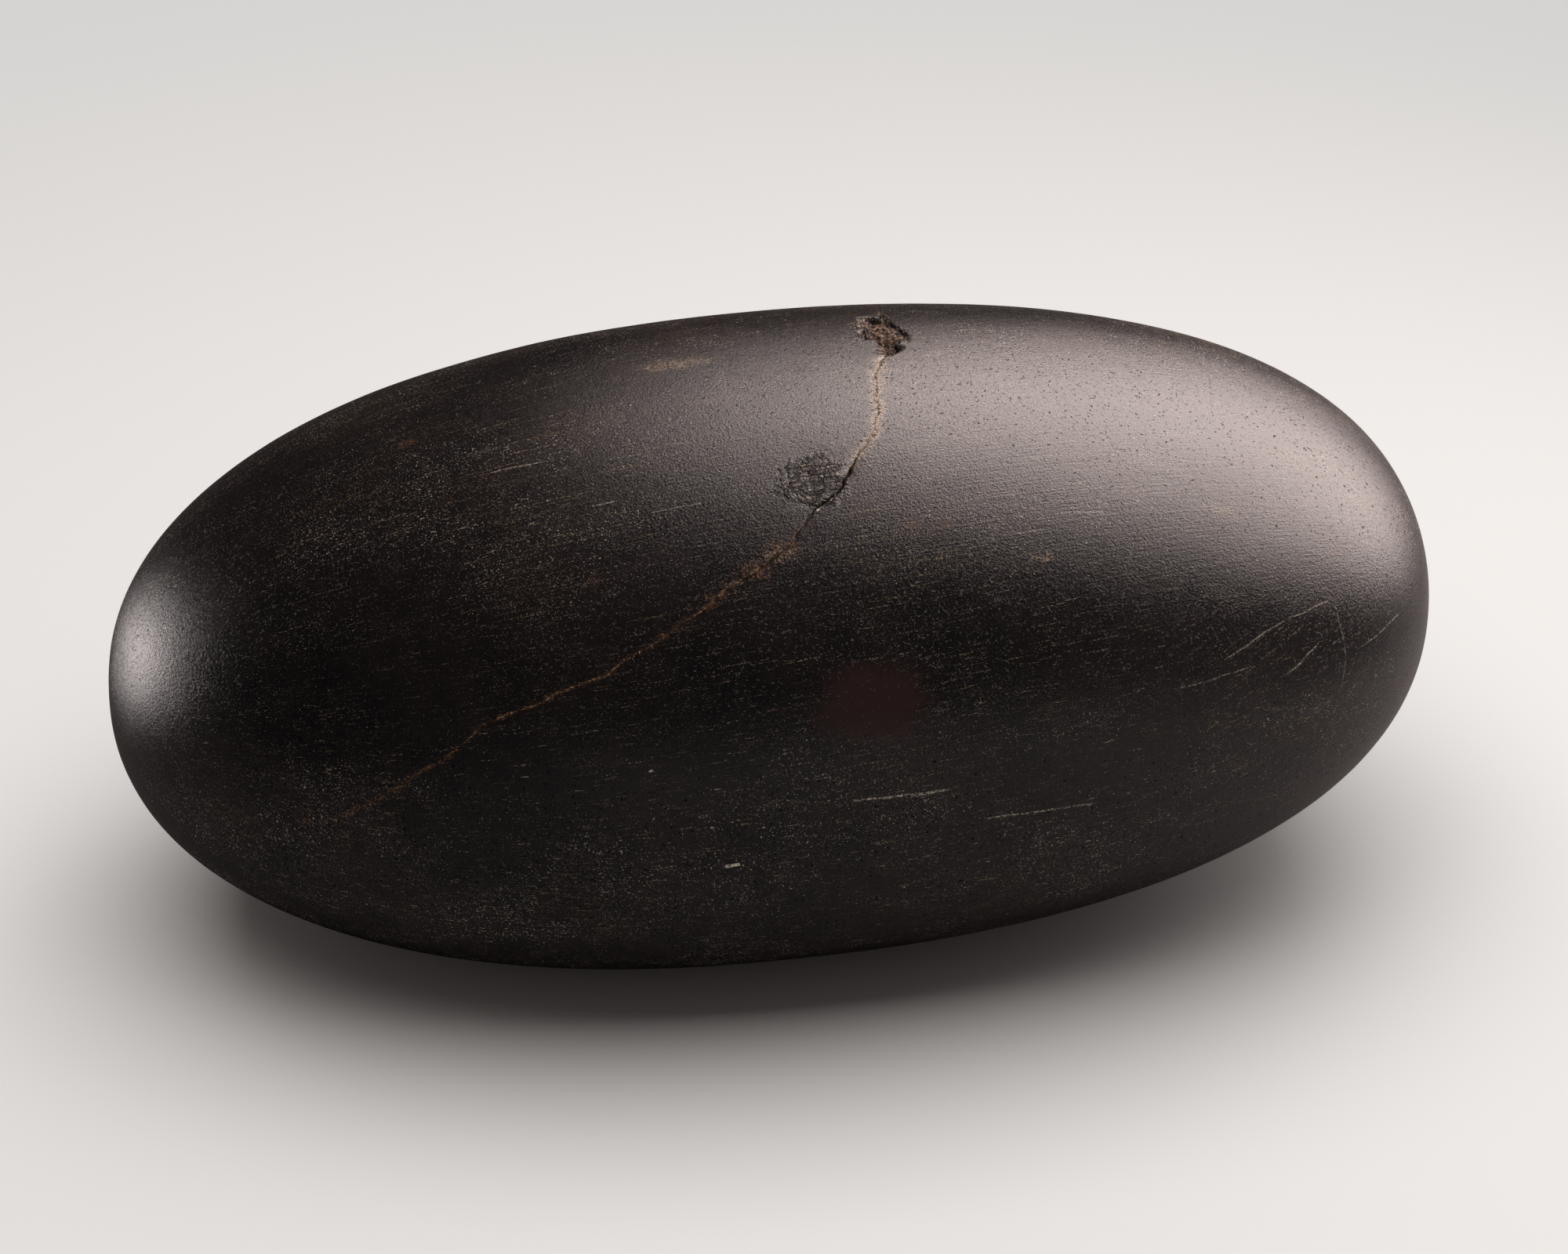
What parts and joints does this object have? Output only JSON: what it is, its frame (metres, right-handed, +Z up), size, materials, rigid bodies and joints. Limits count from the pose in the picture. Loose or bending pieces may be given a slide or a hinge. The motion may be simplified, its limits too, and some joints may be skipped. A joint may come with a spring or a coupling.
{
  "type": "basalt massage stone",
  "caption": "Long smooth ovoid of dark basalt with a flat to rest on and a crack healed with rusty mineral, held in the hand to massage.",
  "frame": {"origin": "on the rest face, under the middle of the stone's length and width", "axes": "+X along the stone towards its blunter end, +Z up from the rest face, -Y is the side that carries the healed crack"},
  "size_m": [0.11, 0.064, 0.0483],
  "materials": {
    "basalt": "satin, finely ground near-black basalt with tan specks, fine pits and lengthwise striations",
    "rust_crust": "matt, granular iron-oxide crust in a chip",
    "ochre_fill": "matt, crumbly ochre and rust mineral that closes a crack"
  },
  "bodies": {
    "root": {"stone_body": "basalt", "chip_crust": "rust_crust", "upper_crack_fill": "ochre_fill", "lower_crack_fill": "ochre_fill"}
  },
  "joints": []
}
